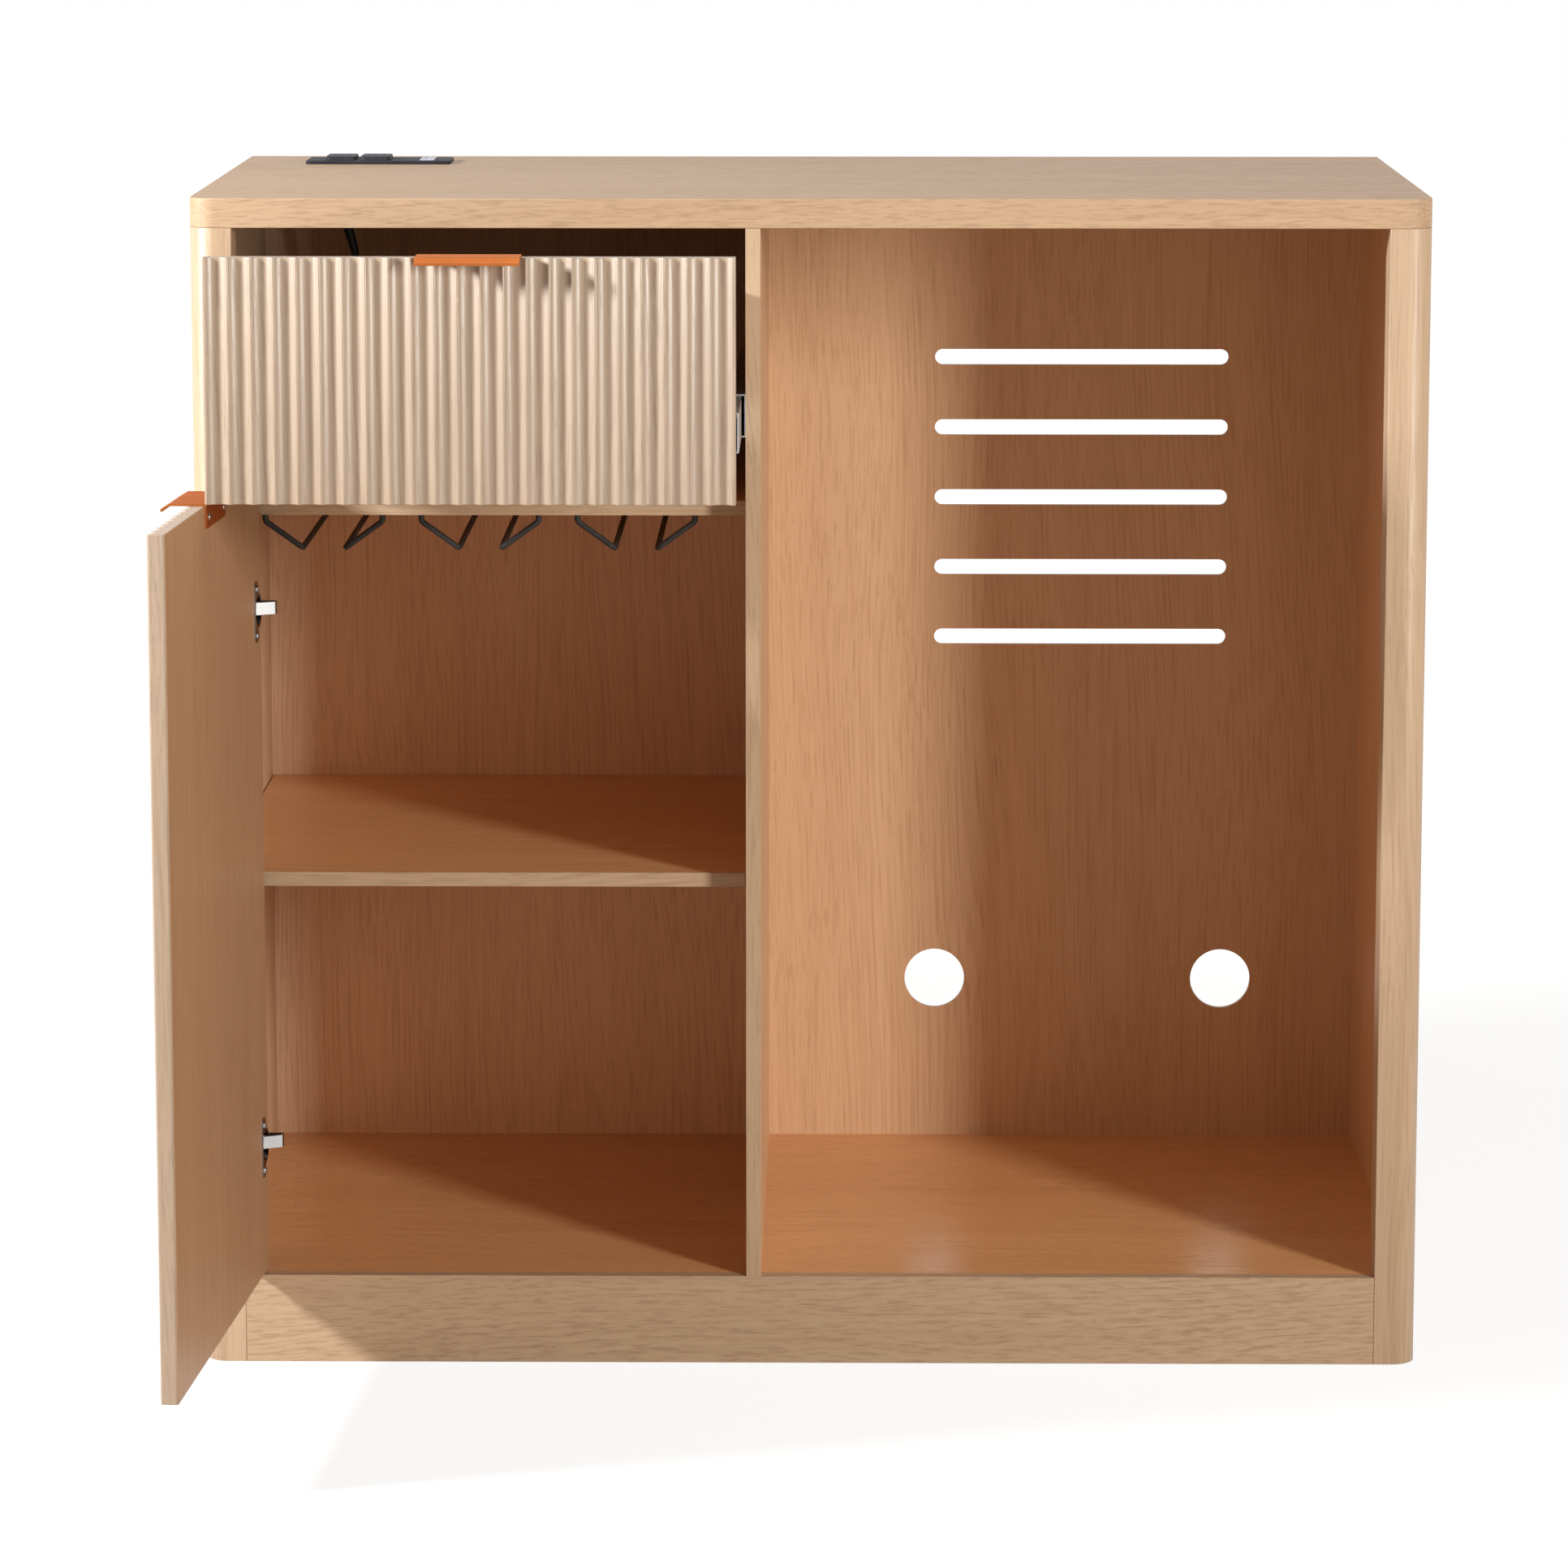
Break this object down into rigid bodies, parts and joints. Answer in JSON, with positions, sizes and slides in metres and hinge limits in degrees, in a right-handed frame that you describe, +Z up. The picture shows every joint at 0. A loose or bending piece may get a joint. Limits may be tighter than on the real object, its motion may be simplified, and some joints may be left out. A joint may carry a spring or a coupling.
{
  "type": "coffee bar cabinet",
  "caption": "Oak coffee bar cabinet with a fluted drawer and door, wire glass racks, a shelf, an open appliance bay with vented back, and a worktop power strip.",
  "frame": {"origin": "on the floor at the middle of the carcass footprint, on the underside of the centre brace", "axes": "+X to the right seen from the front, +Y towards the back, +Z up"},
  "size_m": [1, 0.9877, 0.9685],
  "materials": {
    "worktop_oak": "satin light oak laminate, grain along the length",
    "carcass_oak": "satin light oak laminate, upright grain",
    "plinth_oak": "satin light oak laminate, grain along the length",
    "fluted_oak": "satin fluted light oak, upright grain",
    "back_board": "matt oak foil on thin board",
    "drawer_board": "satin light oak laminate",
    "hidden_board": "raw chipboard edge and foil",
    "dowel_wood": "raw beech",
    "copper_metal": "satin copper-coloured coating",
    "nickel_metal": "bright nickel plate",
    "zinc_metal": "zinc plate",
    "black_wire": "satin black powder coat",
    "dark_plastic": "fine-grained dark grey",
    "outlet_plastic": "fine-grained dark grey",
    "usb_plastic": "pale grey",
    "cord_sheath": "soft matt black sheath",
    "plug_plastic": "soft matt black",
    "plug_metal": "bright brass"
  },
  "bodies": {
    "root": {"worktop": "worktop_oak", "left_post": "carcass_oak", "right_post": "carcass_oak", "left_side_panel": "carcass_oak", "right_side_panel": "carcass_oak", "left_back_panel": "back_board", "right_back_panel": "back_board", "floor_panel": "plinth_oak", "front_plinth": "plinth_oak", "rear_plinth": "hidden_board", "centre_brace": "hidden_board", "centre_divider": "carcass_oak", "drawer_shelf": "plinth_oak", "adjustable_shelf": "plinth_oak", "shelf_pins": "nickel_metal", "cam_discs": "zinc_metal", "cam_bolts": "zinc_metal", "dowels": "dowel_wood", "back_panel_screws": "zinc_metal", "glass_rack_left": "black_wire", "glass_rack_middle": "black_wire", "glass_rack_right": "black_wire", "rack_screws": "black_wire", "upper_hinge_arm": "nickel_metal", "lower_hinge_arm": "nickel_metal", "hinge_plates": "nickel_metal", "hinge_plate_screws": "nickel_metal", "slide_packer": "hidden_board", "left_slide_outer": "zinc_metal", "right_slide_outer": "zinc_metal", "slide_screws": "zinc_metal", "strip_housing": "dark_plastic", "strip_faceplate": "dark_plastic", "strip_outlets": "outlet_plastic", "strip_usb": "usb_plastic", "strip_brackets": "zinc_metal", "cord_strain_relief": "cord_sheath", "power_cord": "cord_sheath", "cord_coil": "cord_sheath", "plug_body": "plug_plastic", "plug_blades": "plug_metal"},
    "door": {"door_panel": "fluted_oak", "door_handle": "copper_metal", "door_handle_screws": "nickel_metal", "upper_hinge_cup": "nickel_metal", "lower_hinge_cup": "nickel_metal", "hinge_pins": "zinc_metal", "hinge_cup_screws": "nickel_metal"},
    "drawer": {"drawer_front": "fluted_oak", "drawer_left_side": "drawer_board", "drawer_right_side": "drawer_board", "drawer_back": "drawer_board", "drawer_bottom": "back_board", "drawer_handle": "copper_metal", "drawer_screws": "zinc_metal", "drawer_dowels": "dowel_wood", "left_slide_inner": "zinc_metal", "right_slide_inner": "zinc_metal"},
    "slide_middles": {"left_slide_middle": "zinc_metal", "right_slide_middle": "zinc_metal"}
  },
  "joints": [
    {"name": "door_swing", "type": "hinge", "parent": "root", "child": "door", "pos_m": [-0.453, -0.2415, 0.4], "axis": [0, 0, -1], "range_deg": [-94, 6]},
    {"name": "drawer_travel", "type": "slide", "parent": "root", "child": "drawer", "axis": [0, -1, 0], "range_m": [-0.242, 0.108]},
    {"name": "slide_middle_travel", "type": "slide", "parent": "root", "child": "slide_middles", "axis": [0, -1, 0], "range_m": [-0.121, 0.054]}
  ],
  "couplings": [
    {"joint": "slide_middle_travel", "follows": "drawer_travel", "ratio": 0.5}
  ]
}
